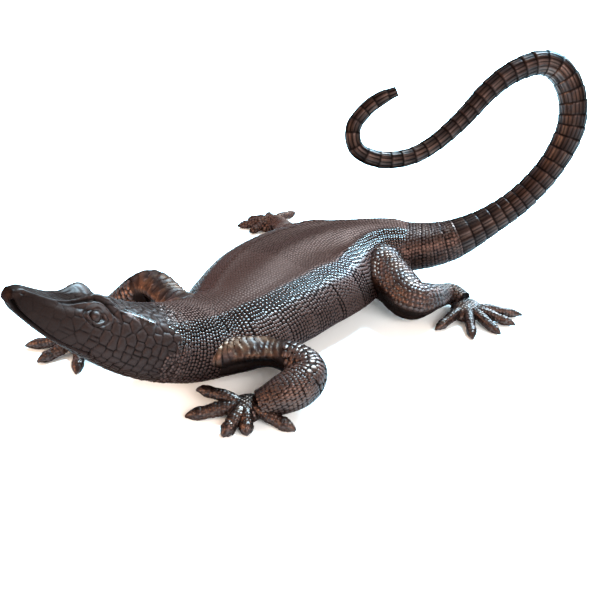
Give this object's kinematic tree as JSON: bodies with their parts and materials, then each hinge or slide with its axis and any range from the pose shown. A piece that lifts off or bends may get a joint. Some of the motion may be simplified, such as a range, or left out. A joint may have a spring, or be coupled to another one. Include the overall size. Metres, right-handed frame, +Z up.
{
  "type": "bronze lizard sculpture",
  "caption": "Cast bronze lizard standing on splayed feet, head lifted and tapering ringed tail curled up over its hips, with scaled skin.",
  "frame": {"origin": "on the ground under the middle of the casting's box", "axes": "+Z up, -X the way the head points, -Y the lizard's left side, X the longest extent"},
  "size_m": [0.2546, 0.162, 0.1013],
  "materials": {
    "patinated_bronze": "cast bronze with a glossy dark brown patina, rubbed warmer brown on the limbs and snout"
  },
  "bodies": {
    "root": {"lizard": "patinated_bronze"}
  },
  "joints": []
}
